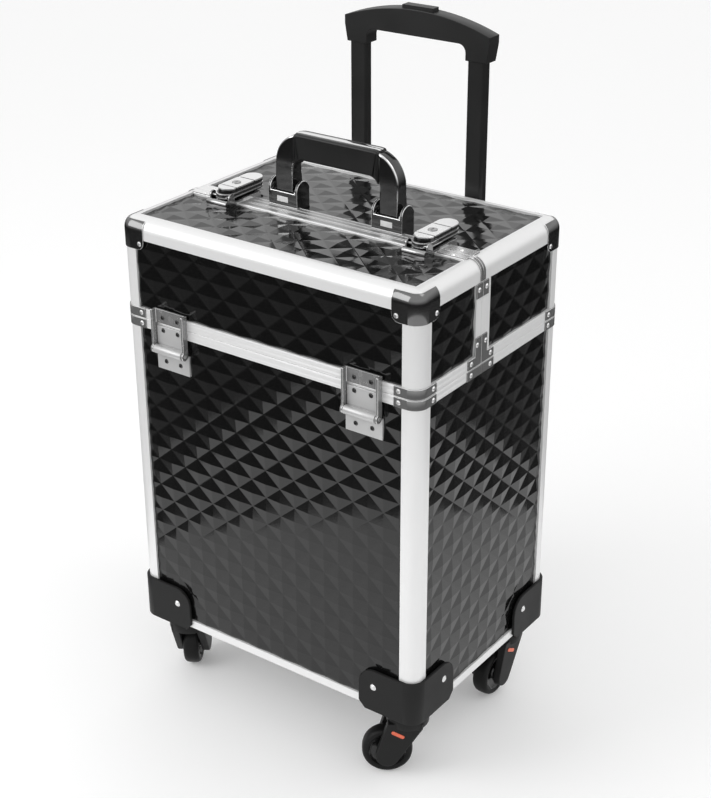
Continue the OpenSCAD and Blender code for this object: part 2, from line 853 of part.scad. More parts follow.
module carry_handle_frame() color(chrome) at_frame() difference() {
  union() {
    translate([0, handle_y + leg_t/2, 0]) rotate([90, 0, 0]) linear_extrude(leg_t) difference() {
      handle_arch(0);
      grip_part();
    }
    for (sx = [-1, 1]) translate([sx*leg_x - 14.2, handle_y, handle_pin_z]) rotate([0, 90, 0])
      cylinder(r = 7, h = 28.4);
  }
  translate([-100, handle_y, handle_pin_z]) rotate([0, 90, 0]) cylinder(r = 3 + fit, h = 200);
}

module carry_handle_grip() color(matte_black) at_frame()
  translate([0, handle_y + leg_t/2 + 1, 0]) rotate([90, 0, 0]) linear_extrude(leg_t + 2) intersection() {
    handle_arch(1);
    grip_part();
  }

// ---- Trolley handle ----

module outer_tubes() color(matte_black) at_frame() tube_pair(outer_tube, outer_z[0], outer_z[1]);

module tube_clamps() color(matte_black) at_frame()
  for (sx = [-1, 1], z = [outer_z[0] + 4, outer_z[1] - 22]) translate([sx*tube_x, 0, z])
    linear_extrude(18) difference() {
      union() {
        translate([-26, d2 - face_in]) square([52, 5]);
        translate([-outer_tube[0]/2 - 2.5, d2 - face_in])
          square([outer_tube[0] + 5, back_reach - d2 + face_in]);
      }
      translate([0, tube_y]) rounded_square(outer_tube[0], outer_tube[1], outer_tube[2]);
    }

// Each stage's foot is just above the one before it when the handle is pushed right in
module middle_tubes() color(matte_black) at_frame()
  tube_pair(middle_tube, outer_z[0] + 2 + stage_out, outer_z[1] + 2 + stage_out);

module inner_tubes() color(matte_black) at_frame()
  tube_pair(inner_tube, outer_z[0] + 4 + 2*stage_out, grip_z + 8);

// Front of the grip: an arched top over a flat-topped opening between the two sockets
module grip_outline() {
  crown_r = 240;
  rise = 40;
  difference() {
    intersection() {
      translate([-grip_half, grip_z]) square([2*grip_half, rise]);
      translate([0, grip_z + rise - crown_r]) circle(crown_r, $fn = 96);
    }
    handle_outline(tube_x - inner_tube[0]/2 - 1, grip_z + 15, 8, grip_z - 1);
    // Sides lean out from the sockets to the tips
    for (side = [-1, 1]) translate([side*(tube_x + 12), grip_z]) rotate(side*-10)
      translate([side > 0 ? 0 : -30, -10]) square([30, 34]);
  }
}

module trolley_grip() color(matte_black) at_frame() difference() {
  translate([0, grip_back, 0]) rotate([90, 0, 0]) linear_extrude(grip_back - grip_front) grip_outline();
  for (sx = [-1, 1]) translate([sx*tube_x - inner_tube[0]/2, tube_y - inner_tube[1]/2, grip_z - 1])
    cube([inner_tube[0], inner_tube[1], 9]);
  translate([-18, grip_front + 3, grip_z + 32]) cube([36, 11, 20]);
}

module release_button() color("black") at_frame()
  box([-17.7, grip_front + 3.3, grip_z + 36], [17.7, grip_front + 13.7, grip_z + 43]);

// ---- Build ----

front_panel();
back_panel();
side_panels();
bottom_panel();
bin_lining();
corner_posts();
bottom_rails();
rim_rail();
body_brackets();
body_rivets();
corner_guards();
front_hinge_bases();
tray_arm_brackets();
outer_tubes();
tube_clamps();
rear_lid_back_panel();
rear_lid_top_panel();
rear_lid_side_panels();
rear_lid_edge_rails();
rear_lid_frame_rails();
rear_lid_corner_caps();
rear_lid_brackets();
rear_hinges();
lock_keepers();
handle_brackets();
rear_upper_tray();
rear_lower_tray();
rear_tray_arms();
front_lid_front_panel();
front_lid_top_panel();
front_lid_side_panels();
front_lid_edge_rails();
front_lid_frame_rails();
front_lid_corner_caps();
front_lid_brackets();
front_lid_rivets();
front_hinge_leaves();
lock_bases();
front_tray_pivots();
front_upper_tray();
front_lower_tray();
front_tray_arms();
lock_lever_left();
lock_lever_right();
key_cylinder_left();
key_cylinder_right();
carry_handle_frame();
carry_handle_grip();
middle_tubes();
inner_tubes();
trolley_grip();
release_button();
caster_fork(FL);  // caster_fork_fl
caster_fork(FR);  // caster_fork_fr
caster_fork(RL);  // caster_fork_rl
caster_fork(RR);  // caster_fork_rr
caster_wheel(FL);  // caster_wheel_fl
caster_wheel(FR);  // caster_wheel_fr
caster_wheel(RL);  // caster_wheel_rl
caster_wheel(RR);  // caster_wheel_rr
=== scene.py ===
import json
import math

import bmesh
import bpy
from mathutils import Matrix, Vector


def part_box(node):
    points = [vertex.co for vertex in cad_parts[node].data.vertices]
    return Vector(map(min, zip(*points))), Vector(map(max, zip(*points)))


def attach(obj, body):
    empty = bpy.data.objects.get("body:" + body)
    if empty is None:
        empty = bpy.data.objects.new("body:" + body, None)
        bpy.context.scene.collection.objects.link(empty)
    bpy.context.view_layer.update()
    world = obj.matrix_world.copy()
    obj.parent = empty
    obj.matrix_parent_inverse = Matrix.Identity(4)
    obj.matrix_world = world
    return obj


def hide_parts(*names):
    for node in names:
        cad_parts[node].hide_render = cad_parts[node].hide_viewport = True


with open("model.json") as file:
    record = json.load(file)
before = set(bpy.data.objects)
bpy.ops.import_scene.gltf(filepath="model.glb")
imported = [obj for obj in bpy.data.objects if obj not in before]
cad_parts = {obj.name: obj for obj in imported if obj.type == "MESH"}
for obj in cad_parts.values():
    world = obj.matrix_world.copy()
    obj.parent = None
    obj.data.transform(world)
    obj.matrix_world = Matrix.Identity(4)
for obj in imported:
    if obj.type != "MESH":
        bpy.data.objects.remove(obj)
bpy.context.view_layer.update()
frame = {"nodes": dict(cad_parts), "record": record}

nodes = frame["nodes"]
scene = bpy.context.scene
scene.view_settings.view_transform = "Standard"
MM = 0.001
X, Y, Z = range(3)
CORNERS = ("fl", "fr", "rl", "rr")

# Places that the whole scene is worked out from, all read from the CAD
rail_lo, rail_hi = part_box("bottom_rails")
CASE_X = rail_hi.x
MID_Y = (rail_lo.y + rail_hi.y)/2
TOP_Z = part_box("front_lid_frame_rails")[1].z
rim_lo, rim_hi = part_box("rim_rail")
# The lids' rims are as tall as the bin's, and their frames reach up to the top
RIM_SHARE = (rim_hi.z - rim_lo.z)/(TOP_Z - rim_hi.z)


def at(x, y, z):
    """A place given in millimetres about the middle of the case."""
    return Vector((x*MM, MID_Y + y*MM, z*MM))


# ---- Materials ----

def grey(value):
    return (value, value, value)


def shader(name):
    mat = bpy.data.materials.new(name)
    mat.use_nodes = True
    tree = mat.node_tree
    return mat, tree, tree.nodes["Principled BSDF"]


def noise(tree, scale, detail=3.0, stretch=(1, 1, 1)):
    """Noise in the piece's own coordinates, scale in cells a metre."""
    coord = tree.nodes.new("ShaderNodeTexCoord")
    mapping = tree.nodes.new("ShaderNodeMapping")
    mapping.inputs["Scale"].default_value = stretch
    tex = tree.nodes.new("ShaderNodeTexNoise")
    tex.inputs["Scale"].default_value = scale
    tex.inputs["Detail"].default_value = detail
    tree.links.new(coord.outputs["Object"], mapping.inputs["Vector"])
    tree.links.new(mapping.outputs["Vector"], tex.inputs["Vector"])
    return tex.outputs["Fac"]


def ramp(tree, value, low, high, to_low, to_high):
    node = tree.nodes.new("ShaderNodeMapRange")
    node.inputs["From Min"].default_value = low
    node.inputs["From Max"].default_value = high
    node.inputs["To Min"].default_value = to_low
    node.inputs["To Max"].default_value = to_high
    tree.links.new(value, node.inputs["Value"])
    return node.outputs["Result"]


def two_tone(tree, value, first, second):
    """A colour that runs from the first to the second as the value goes from 0 to 1."""
    node = tree.nodes.new("ShaderNodeMix")
    node.data_type = "RGBA"
    node.inputs["A"].default_value = (*first, 1)
    node.inputs["B"].default_value = (*second, 1)
    tree.links.new(value, node.inputs["Factor"])
    return node.outputs["Result"]


def bump(tree, bsdf, height, depth, strength=1.0):
    node = tree.nodes.new("ShaderNodeBump")
    node.inputs["Distance"].default_value = depth
    node.inputs["Strength"].default_value = strength
    tree.links.new(height, node.inputs["Height"])
    tree.links.new(node.outputs["Normal"], bsdf.inputs["Normal"])


def worn(name, dark, light, rough, metallic=0.0, grain=(900, 0.020), smudge=22, specular=0.5):
    """A finish whose colour and roughness wander a little over patches, `smudge` of them a metre.
    Its fine grain is (cells a metre, depth in millimetres)."""
    mat, tree, bsdf = shader(name)
    patches = noise(tree, smudge)
    tree.links.new(two_tone(tree, patches, dark, light), bsdf.inputs["Base Color"])
    tree.links.new(ramp(tree, patches, 0.3, 0.7, *rough), bsdf.inputs["Roughness"])
    bump(tree, bsdf, noise(tree, grain[0], 2.0), grain[1]*MM)
    bsdf.inputs["Metallic"].default_value = metallic
    bsdf.inputs["Specular IOR Level"].default_value = specular
    return mat


BRUSH_MARKS = 2600   # cells a metre across the brush marks
BRUSH_STRETCH = 0.015   # their scale along the marks, against across them
RIBS_ALL_OVER = 2.0


def brushed(name, axis, tone=0.77, rough=(0.28, 0.40), metallic=0.36):
    """Satin anodised aluminium, drawn along one axis."""
    mat, tree, bsdf = shader(name)
    stretch = [1.0, 1.0, 1.0]
    stretch[axis] = BRUSH_STRETCH
    lines = noise(tree, BRUSH_MARKS, 2.0, stretch)
    patches = noise(tree, 9)
    tree.links.new(two_tone(tree, patches, grey(tone*0.95), grey(tone)), bsdf.inputs["Base Color"])
    tree.links.new(ramp(tree, lines, 0.3, 0.7, *rough), bsdf.inputs["Roughness"])
    bump(tree, bsdf, lines, 0.010*MM)
    bsdf.inputs["Metallic"].default_value = metallic
    return mat


def ribbed(name, period, depth, share=RIBS_ALL_OVER):
    """Brushed aluminium with fine ribs along it, on the lowest `share` of the piece's height."""
    mat = brushed(name, X)
    tree = mat.node_tree
    coord = tree.nodes.new("ShaderNodeTexCoord")
    wave = tree.nodes.new("ShaderNodeTexWave")
    wave.bands_direction = "Z"
    wave.inputs["Scale"].default_value = math.pi/(10*period)
    tree.links.new(coord.outputs["Object"], wave.inputs["Vector"])
    split = tree.nodes.new("ShaderNodeSeparateXYZ")
    tree.links.new(coord.outputs["Generated"], split.inputs["Vector"])
    ribs = tree.nodes.new("ShaderNodeMath")
    ribs.operation = "MULTIPLY"
    tree.links.new(wave.outputs["Fac"], ribs.inputs[0])
    tree.links.new(ramp(tree, split.outputs["Z"], share, share + 0.001, 1.0, 0.0), ribs.inputs[1])
    bump(tree, tree.nodes["Principled BSDF"], ribs.outputs["Value"], depth)
    return mat


def fabric(name, dark, light, weave=900):
    """A matt woven or felted sheet, weave in threads a metre."""
    mat, tree, bsdf = shader(name)
    fine = noise(tree, weave, 4.0)
    tree.links.new(two_tone(tree, fine, dark, light), bsdf.inputs["Base Color"])
    bump(tree, bsdf, fine, 0.4*MM)
    bsdf.inputs["Roughness"].default_value = 0.95
    bsdf.inputs["Sheen Weight"].default_value = 0.5
    return mat


RIB_PERIOD = 5.2*MM
RIB_DEPTH = 0.35*MM

# Aluminium and plated steel
RAIL = brushed("anodised_x", X)
POST = brushed("anodised_z", Z)
RIM = ribbed("ribbed_rim", RIB_PERIOD, RIB_DEPTH)
LID_RIM = ribbed("ribbed_lid_rim", RIB_PERIOD, RIB_DEPTH, RIM_SHARE)
STRIP = brushed("strip_aluminium", X, 0.36, (0.30, 0.40), 0.6)
CHROME = worn("chrome", grey(0.66), grey(0.74), (0.06, 0.12), 1.0, (260, 0.010))
DARK_CHROME = worn("dark_chrome", grey(0.28), grey(0.36), (0.10, 0.17), 1.0, (300, 0.012))
BLACK_CHROME = worn("black_chrome", grey(0.06), grey(0.09), (0.08, 0.14), 0.9, (300, 0.012))
CAP_CHROME = worn("cap_chrome", grey(0.13), grey(0.18), (0.09, 0.15), 0.95, (300, 0.012))
BRACKET = worn("bracket_chrome", grey(0.17), grey(0.25), (0.12, 0.22), 0.6, (700, 0.014))
STEEL = worn("satin_steel", grey(0.22), grey(0.34), (0.18, 0.30), 0.55, (1500, 0.014), smudge=120)
HINGE_TAB = worn("hinge_satin", grey(0.44), grey(0.52), (0.30, 0.42), 0.35, (1500, 0.012))
SATIN_SILVER = worn("satin_silver", grey(0.72), grey(0.80), (0.24, 0.34), 0.85, (1500, 0.012))

# Plastic, sheet and fabric
PANEL = worn("embossed_black", grey(0.0036), grey(0.0050), (0.09, 0.13), grain=(420, 0.010))
GUARD = worn("guard_plastic", grey(0.010), grey(0.014), (0.40, 0.52), grain=(1800, 0.030), specular=0.16)
GRIP = worn("grip_plastic", grey(0.009), grey(0.012), (0.34, 0.46), grain=(2200, 0.020), specular=0.35)
TUBE = worn("black_tube", grey(0.010), grey(0.014), (0.30, 0.38), grain=(1600, 0.010), specular=0.35)
TYRE = worn("wheel_black", grey(0.006), grey(0.010), (0.34, 0.50), grain=(1200, 0.030), specular=0.14)
HUB = worn("hub_gloss", grey(0.006), grey(0.009), (0.12, 0.20), grain=(700, 0.020))
ACCENT = worn("red_insert", (0.60, 0.10, 0.05), (0.72, 0.16, 0.08), (0.25, 0.35))
TRAY = worn("tray_plastic", grey(0.014), grey(0.020), (0.38, 0.50), grain=(1500, 0.030), specular=0.35)
LINING = fabric("black_lining", grey(0.010), grey(0.022))
FELT = fabric("tray_felt", grey(0.012), grey(0.026), 1400)


# ---- Mesh helpers ----

def piece(name, bm, materials, body, replaces=(), smooth=None):
    """Turns a bmesh into an object that rides on a CAD body. `replaces` are the CAD nodes that it stands for,
    and edges flatter than `smooth` degrees are shaded smooth."""
    bmesh.ops.remove_doubles(bm, verts=bm.verts, dist=0.002*MM)
    bmesh.ops.recalc_face_normals(bm, faces=bm.faces)
    mesh = bpy.data.meshes.new(name)
    bm.to_mesh(mesh)
    bm.free()
    obj = bpy.data.objects.new(name, mesh)
    scene.collection.objects.link(obj)
    for mat in materials:
        mesh.materials.append(mat)
    if smooth:
        mesh.polygons.foreach_set("use_smooth", [True]*len(mesh.polygons))
        mesh.set_sharp_from_angle(angle=math.radians(smooth))
    if replaces:
        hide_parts(*replaces)
    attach(obj, body)
    return obj


SOFTENED_ANGLE = math.radians(40)


def soften(obj, width, segments=2):
    """Rounds a piece's edges with a bevel."""
    mod = obj.modifiers.new("edges", "BEVEL")
    mod.width = width
    mod.segments = segments
    mod.limit_method = "ANGLE"
    mod.angle_limit = SOFTENED_ANGLE
    return mod


def solid_box(bm, lo, hi):
    """A box from lo to hi."""
    for v in bmesh.ops.create_cube(bm, size=1.0)["verts"]:
        v.co = Vector([lo[i] + (v.co[i] + 0.5)*(hi[i] - lo[i]) for i in range(3)])


def loft(bm, rings, material=0, cap=True):
    """Joins rings of points, each a list of the same length, into a skin."""
    rows = [[bm.verts.new(p) for p in ring] for ring in rings]
    n = len(rows[0])
    for a, b in zip(rows, rows[1:]):
        for i in range(n):
            f = bm.faces.new((a[i], a[(i + 1) % n], b[(i + 1) % n], b[i]))
            f.material_index = material
    if cap:
        for row in (rows[0], rows[-1]):
            bm.faces.new(row).material_index = material


def lathe(bm, profile, centre, axis, steps=48):
    """Turns (radius, along) pairs about an axis through centre; the two ends are closed flat."""
    side = axis.orthogonal().normalized()
    other = axis.cross(side)
    rings = []
    for radius, along in profile:
        ring = []
        for i in range(steps):
            t = 2*math.pi*i/steps
            out = side*math.cos(t) + other*math.sin(t)
            ring.append(centre + axis*along + out*radius)
        rings.append(ring)
    loft(bm, rings)


def rounded_rect(half_a, half_b, r, steps=6):
    """Corner-rounded rectangle about the origin, as (a, b) pairs."""
    out = []
    for k, (sa, sb) in enumerate(((1, 1), (-1, 1), (-1, -1), (1, -1))):
        for i in range(steps + 1):
            t = math.radians(90*k + 90*i/steps)
            out.append((sa*(half_a - r) + r*math.cos(t), sb*(half_b - r) + r*math.sin(t)))
    return out


# ---- Embossed panels ----

DIAMOND_W = 34.1*MM
DIAMOND_H = 29.5*MM
RELIEF = 1.1*MM      # how far a diamond's middle stands up
GROOVE = 0.45*MM     # half of the flat width between two diamonds
SHEET = 3.0*MM       # thickness of an embossed sheet with its board


def diamond_cells(bm, u0, u1, v0, v1, phase):
    """Raised four-sided diamonds with flat grooves between them, over a rectangle.
    One of them has its middle at `phase`."""
    half = Vector((DIAMOND_W/2, DIAMOND_H/2))
    shrink = 1 - GROOVE*2*math.hypot(1/DIAMOND_W, 1/DIAMOND_H)
    corners = [(1, 0), (0, 1), (-1, 0), (0, -1)]
    i0 = math.floor((u0 - phase[0])/half.x) - 1
    i1 = math.ceil((u1 - phase[0])/half.x) + 1
    j0 = math.floor((v0 - phase[1])/half.y) - 1
    j1 = math.ceil((v1 - phase[1])/half.y) + 1
    for i in range(i0, i1 + 1):
        for j in range(j0, j1 + 1):
            if (i + j) % 2:
                continue
            cu = phase[0] + i*half.x
            cv = phase[1] + j*half.y
            outer = [bm.verts.new((cu + a*half.x, cv + b*half.y, 0)) for a, b in corners]
            inner = [bm.verts.new((cu + a*half.x*shrink, cv + b*half.y*shrink, 0)) for a, b in corners]
            apex = bm.verts.new((cu, cv, RELIEF))
            for k in range(4):
                m = (k + 1) % 4
                bm.faces.new((outer[k], outer[m], inner[m], inner[k]))
                bm.faces.new((inner[k], inner[m], apex))
    bmesh.ops.remove_doubles(bm, verts=bm.verts, dist=0.010*MM)
    for axis, edge, sign in ((X, u0, -1), (X, u1, 1), (Y, v0, -1), (Y, v1, 1)):
        place = Vector((0, 0, 0))
        place[axis] = edge
        outward = Vector((0, 0, 0))
        outward[axis] = sign
        bmesh.ops.bisect_plane(bm, geom=bm.verts[:] + bm.edges[:] + bm.faces[:], dist=0.001*MM,
                               plane_co=place, plane_no=outward, clear_outer=True)


def embossed(bm, lo, hi, axis, sign, phase):
    """One embossed sheet that fills the box from lo to hi, its face on the side `sign` of `axis`."""
    sheet = bmesh.new()
    ua, va = [(Y, Z), (X, Z), (X, Y)][axis]
    diamond_cells(sheet, lo[ua], hi[ua], lo[va], hi[va], phase)
    thick = hi[axis] - lo[axis]
    rim = [e for e in sheet.edges if len(e.link_faces) == 1]
    walls = bmesh.ops.extrude_edge_only(sheet, edges=rim)["geom"]
    back = [g for g in walls if isinstance(g, bmesh.types.BMVert)]
    for v in back:
        v.co.z = -thick
    loop = [g for g in walls if isinstance(g, bmesh.types.BMEdge) and all(v in back for v in g.verts)]
    made = bmesh.ops.contextual_create(sheet, geom=loop)["faces"]
    for f in made:
        f.material_index = 1
    face = hi[axis] if sign > 0 else lo[axis]
    place = {}
    for v in sheet.verts:
        co = Vector((0, 0, 0))
        co[ua] = v.co.x
        co[va] = v.co.y
        co[axis] = face + sign*v.co.z
        place[v] = bm.verts.new(co)
    for f in sheet.faces:
        new = bm.faces.new([place[v] for v in f.verts])
        new.material_index = f.material_index
    sheet.free()


def panel(node, body, axis, signs, phase):
    """Embossed sheets in place of a CAD panel node, one for each side in `signs`, lined on the inside."""
    lo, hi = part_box(node)
    bm = bmesh.new()
    for sign in signs:
        a, b = Vector(lo), Vector(hi)
        if sign > 0:
            a[axis] = hi[axis] - SHEET
        else:
            b[axis] = lo[axis] + SHEET
        embossed(bm, a, b, axis, sign, phase)
    piece(node + "_sheet", bm, [PANEL, LINING], body, [node])


def panels():
    """All the embossed sheets. Each one's last value is the place of one diamond's middle on it."""
    left = -CASE_X
    body_row = 404.9*MM
    lid_row = 509.3*MM
    panel("front_panel", "case", Y, (-1,), (left + 28.8*MM, body_row))
    panel("back_panel", "case", Y, (1,), (0, body_row))
    panel("side_panels", "case", X, (-1, 1), (MID_Y - 107.7*MM, 414.1*MM))
    panel("rear_lid_back_panel", "case", Y, (1,), (0, lid_row))
    panel("rear_lid_top_panel", "case", Z, (1,), (left + 11.6*MM, MID_Y + 109.3*MM))
    panel("rear_lid_side_panels", "case", X, (-1, 1), (MID_Y + 20*MM, 496.5*MM))
    panel("front_lid_front_panel", "front_lid", Y, (-1,), (left + 19.6*MM, lid_row))
    panel("front_lid_top_panel", "front_lid", Z, (1,), (left + 22*MM, MID_Y - 43.5*MM))
    panel("front_lid_side_panels", "front_lid", X, (-1, 1), (MID_Y - 81*MM, 496.2*MM))


# ---- CAD nodes that keep their shape ----

WELD_WITHIN = 0.005*MM
# Where the hinges' screws are: out past HINGE_OUT on the front and back, above HINGE_LOW, near HINGE_X
HINGE_X = 112*MM
HINGE_HALF = 20*MM
HINGE_OUT = 118*MM
HINGE_LOW = 350*MM


def finish_node(node, mat, bevel=0.0, segments=2, edge=None):
    """Gives a CAD node its finish and rounds its edges by `bevel` millimetres. `edge` is a second, brighter
    finish for the rounded edges, a painted highlight along them."""
    obj = nodes[node]
    obj.data.materials.clear()
    obj.data.materials.append(mat)
    if bevel:
        weld = obj.modifiers.new("joined", "WELD")
        weld.merge_threshold = WELD_WITHIN
        rounding = soften(obj, bevel*MM, segments)
        rounding.use_clamp_overlap = False
        # The rounded edges take the brighter finish: a painted highlight.
        if edge:
            obj.data.materials.append(edge)
            rounding.material = 1


def darken_screws(node):
    """The fixings on the hinges are dark screws; the others are bright rivets."""
    obj = nodes[node]
    obj.data.materials.append(BLACK_CHROME)
    for face in obj.data.polygons:
        centre = obj.matrix_world @ face.center
        beside = abs(abs(centre.x) - HINGE_X) > HINGE_HALF or centre.z < HINGE_LOW
        if abs(centre.y - MID_Y) > HINGE_OUT and not beside:
            face.material_index = 1


def paint_top_highlight(node):
    """The faces that lie flat on the top take the bright edge finish, a painted highlight where light from
    above falls on them; the others keep the darker finish.
    """
    obj = nodes[node]
    for face in obj.data.polygons:
        if (obj.matrix_world @ face.center).z > TOP_Z + 0.5*MM and face.normal.z > 0.9:
            face.material_index = 1


def metal_finishes():
    # Where a node gets a second finish, it goes on its rounded edges as a painted highlight; on the brackets
    # it also paints their flat tops.
    finish_node("bottom_rails", RAIL, 0.6)
    finish_node("rim_rail", RIM, 0.5)
    for node in ("front_lid_frame_rails", "rear_lid_frame_rails"):
        finish_node(node, LID_RIM, 0.5)
    finish_node("corner_posts", POST)
    for node in ("front_lid_edge_rails", "rear_lid_edge_rails"):
        finish_node(node, RAIL)
    for node in ("body_brackets", "front_lid_brackets", "rear_lid_brackets"):
        finish_node(node, BRACKET, 0.25, 1, SATIN_SILVER)
        paint_top_highlight(node)
    for node in ("front_lid_corner_caps", "rear_lid_corner_caps"):
        finish_node(node, CAP_CHROME, 0.4, 2, SATIN_SILVER)
    for node in ("body_rivets", "front_lid_rivets"):
        finish_node(node, SATIN_SILVER)
        darken_screws(node)
    finish_node("front_hinge_bases", HINGE_TAB, 0.4)
    for node in ("front_hinge_leaves", "rear_hinges"):
        finish_node(node, STEEL, 0.4, 1, SATIN_SILVER)
    for node in ("tray_arm_brackets", "front_tray_pivots", "front_tray_arms", "rear_tray_arms"):
        finish_node(node, SATIN_SILVER, 0.3, 1)
    finish_node("lock_bases", DARK_CHROME, 0.5)
    finish_node("lock_keepers", CHROME, 0.5)
    for node in ("key_cylinder_left", "key_cylinder_right"):
        finish_node(node, DARK_CHROME, 0.4)
    finish_node("handle_brackets", BLACK_CHROME, 0.5, 2, SATIN_SILVER)
    finish_node("carry_handle_frame", BLACK_CHROME, 1.4, 3, CHROME)


def plastic_and_lining_finishes():
    finish_node("carry_handle_grip", GRIP, 2.2, 3)
    finish_node("corner_guards", GUARD, 0.8)
    finish_node("bottom_panel", GUARD, 0.4)
    finish_node("bin_lining", LINING)
    for node in ("front_upper_tray", "front_lower_tray", "rear_upper_tray", "rear_lower_tray"):
        finish_node(node, TRAY, 0.4)
    for node in ("outer_tubes", "middle_tubes", "inner_tubes"):
        finish_node(node, TUBE)
    finish_node("tube_clamps", GUARD, 0.8)
    finish_node("trolley_grip", GRIP, 0.6)
    finish_node("release_button", GRIP, 0.6)
    for corner in CORNERS:
        finish_node("caster_fork_" + corner, GUARD, 1.2)


# ---- Locks and the strips between them ----

# A lever's sizes, in millimetres about the middle of the case and up from its underside. It is three plates
# with a narrow waist between each two. The top one stops short of the front, to clear the barrel when the
# lever stands up, and two grooves cut it across
LEVER_FRONT = -41.5
LEVER_TOP_FRONT = -38.0
LEVER_REAR = 18.0
LEVER_HALF = 10.0
# The bright finish on each plate's upper rim and chamfer, and on the lever's top, is a painted highlight.
DARK, PAINTED_HIGHLIGHT = 0, 1
# From the bottom up: the finish, and (height, how far the outline is drawn in) pairs
LOWER_PLATES = (
    (DARK, ((0.1, 1.6), (1.6, 0), (2.3, 0))),
    (PAINTED_HIGHLIGHT, ((2.31, 0), (2.9, 0), (3.2, 0.9))),
    (DARK, ((3.21, 0.9), (3.7, 0.9), (4.0, 0), (6.0, 0))),
    (PAINTED_HIGHLIGHT, ((6.01, 0), (6.6, 0), (6.9, 0.9))),
    (DARK, ((6.91, 0.9), (7.39, 0.9))))
TOP_CORE = ((7.4, 0.9), (7.7, 0.3), (9.2, 0.3))
TOP_PLATES = (
    (DARK, ((7.7, 0.1), (8.0, 0), (10.2, 0))),
    (PAINTED_HIGHLIGHT, ((10.21, 0), (11.4, 0), (11.65, 0.3))))
TOP_PARTS = ((LEVER_TOP_FRONT, -28.9), (-27.3, -1.9), (-0.1, LEVER_REAR))


def lever_outline(y0, y1, inset, z, nose, samples=36):
    """Plan of a bar with two round ends, the front one at `nose`, drawn in by `inset` all round and cut off
    at y0 and y1."""
    half = LEVER_HALF - inset
    front = nose + LEVER_HALF
    rear = LEVER_REAR - LEVER_HALF
    lo = max(y0 + inset, front - half)
    hi = min(y1 - inset, rear + half)
    sides = []
    for i in range(samples + 1):
        y = (lo + hi)/2 - (hi - lo)/2*math.cos(math.pi*i/samples)
        past = max(front - y, y - rear, 0)
        sides.append((math.sqrt(max(half*half - past*past, 0)), y))
    points = sides + [(-x, y) for x, y in reversed(sides)]
    return [(x, y, z) for x, y in points]


def lock_lever(side):
    """The lever's layered plates, with round ends, and a painted highlight on each plate's upper edge and on
    its top.
    """
    lo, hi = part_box("lock_lever_" + side)
    x = (lo.x + hi.x)/2/MM
    base = lo.z/MM
    bm = bmesh.new()

    def block(y0, y1, steps, finish, nose=LEVER_TOP_FRONT):
        rings = [lever_outline(y0, y1, inset, base + z, nose) for z, inset in steps]
        loft(bm, [[at(x + a, b, c) for a, b, c in ring] for ring in rings], finish)

    for finish, steps in LOWER_PLATES:
        block(LEVER_FRONT, LEVER_REAR, steps, finish, LEVER_FRONT)
    block(LEVER_TOP_FRONT, LEVER_REAR, TOP_CORE, DARK)
    for y0, y1 in TOP_PARTS:
        for finish, steps in TOP_PLATES:
            block(y0, y1, steps, finish)
    piece("lock_lever_%s_plates" % side, bm, [BLACK_CHROME, SATIN_SILVER], side + "_lock_lever",
          ["lock_lever_" + side], 35)


# The ridged covers along the joint between the locks, in millimetres
COVER_HALF = 98
COVER_EDGE = 0.1
COVER_VALLEY = 0.2
COVER_RIDGE = 0.5
COVER_SLOPE = 0.2
COVER_SUNK = 0.05


def joint_strip(name, body, ridges):
    """A cover strip from its ridges, each a (front, rear) pair, with valleys between them."""
    profile = []
    for front, rear in ridges:
        profile += [(front, COVER_VALLEY), (front + COVER_SLOPE, COVER_RIDGE)]
        profile += [(rear - COVER_SLOPE, COVER_RIDGE), (rear, COVER_VALLEY)]
    first, last = profile[0][0], profile[-1][0]
    profile[0] = (first, COVER_EDGE)
    profile[-1] = (last, COVER_EDGE)
    section = [(first, -COVER_SUNK)] + profile + [(last, -COVER_SUNK)]
    bm = bmesh.new()
    loft(bm, [[at(x, y, TOP_Z/MM + h) for y, h in section] for x in (-COVER_HALF, COVER_HALF)])
    piece(name, bm, [STRIP], body)


def locks():
    for side in ("left", "right"):
        lock_lever(side)
    joint_strip("front_joint_strip", "front_lid", ((-30.9, -29.0), (-24.2, -22.5)))
    joint_strip("rear_joint_strip", "case", ((-21.5, -19.6), (-15.2, -13.8), (-9.6, -8.0)))


# ---- Carry handle ----

TRIM_HALF = 47.8
GRIP_FLAT = 41.0     # half of the grip's straight stretch
GRIP_BEND = 30.0     # radius of the bend past it
TRIM_SECTION = ((-3.4, -0.3), (-3.4, 0.25), (-2.8, 0.5), (2.8, 0.5), (3.4, 0.25), (3.4, -0.3))


def handle_trim(steps=32):
    """A bright strip let into the top of the grip, which bends down at its ends."""
    lo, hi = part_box("carry_handle_grip")
    y = ((lo.y + hi.y)/2 - MID_Y)/MM
    rings = []
    for i in range(steps + 1):
        x = -TRIM_HALF + 2*TRIM_HALF*i/steps
        past = max(abs(x) - GRIP_FLAT, 0)
        z = hi.z/MM - GRIP_BEND + math.sqrt(GRIP_BEND**2 - past**2)
        rings.append([at(x, y + a, z + b) for a, b in TRIM_SECTION])
    bm = bmesh.new()
    loft(bm, rings)
    piece("grip_top_strip", bm, [CHROME], "carry_handle", smooth=30)


PLATE_INWARD = 17    # from the brackets' outer end to a plate's middle
PLATE_HALF = 6.5
PLATE_LOW = 4
PLATE_HIGH = 9.5
PLATE_THICK = 0.3


def bracket_plates():
    """A small blank plate on the front of each of the handle's brackets."""
    lo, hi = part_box("handle_brackets")
    front = (lo.y - MID_Y)/MM
    base = TOP_Z/MM
    bm = bmesh.new()
    for side in (-1, 1):
        middle = side*((hi.x - lo.x)/2/MM - PLATE_INWARD)
        solid_box(bm, at(middle - PLATE_HALF, front - PLATE_THICK, base + PLATE_LOW),
                  at(middle + PLATE_HALF, front, base + PLATE_HIGH))
    plates = piece("handle_bracket_plates", bm, [SATIN_SILVER], "case")
    soften(plates, 0.2*MM, 1)


# ---- Casters ----

